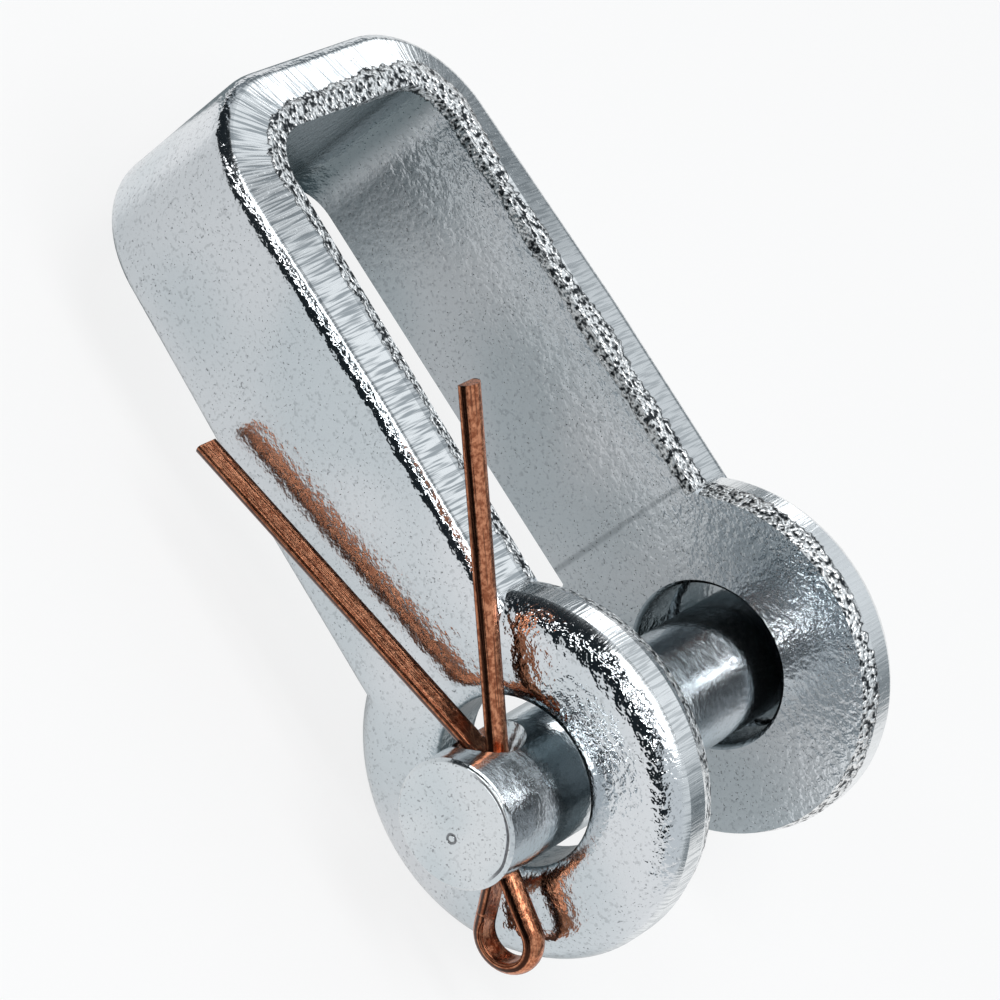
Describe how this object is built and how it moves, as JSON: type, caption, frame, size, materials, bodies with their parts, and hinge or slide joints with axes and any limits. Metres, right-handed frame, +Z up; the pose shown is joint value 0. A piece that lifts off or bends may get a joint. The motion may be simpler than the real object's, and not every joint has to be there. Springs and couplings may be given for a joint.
{
  "type": "strap clevis with headed pin",
  "caption": "U-shaped steel strap clevis with two pierced ears, joined by a headed pin that a copper split pin keeps in place.",
  "frame": {"origin": "on the axis of the ears' bores, midway between the two ears", "axes": "+X from the bow to the open mouth, Y along the pin with its free end towards -Y, +Z up with the strap lying on its edge"},
  "size_m": [0.1097, 0.0689, 0.0522],
  "materials": {
    "strap_steel": "bright zinc plating over stamped steel, faintly blue, with a fine orange-peel texture",
    "pin_steel": "bright zinc plating over turned steel",
    "split_pin_copper": "worn copper colour, drawn wire"
  },
  "bodies": {
    "clevis": {"clevis_strap": "strap_steel"},
    "pin": {"clevis_pin": "pin_steel", "split_pin": "split_pin_copper"}
  },
  "joints": [
    {"name": "pin_turn", "type": "hinge", "parent": "clevis", "child": "pin", "pos_m": [0.0008, 0, -0.0003], "axis": [0, 1, 0], "continuous": true}
  ]
}
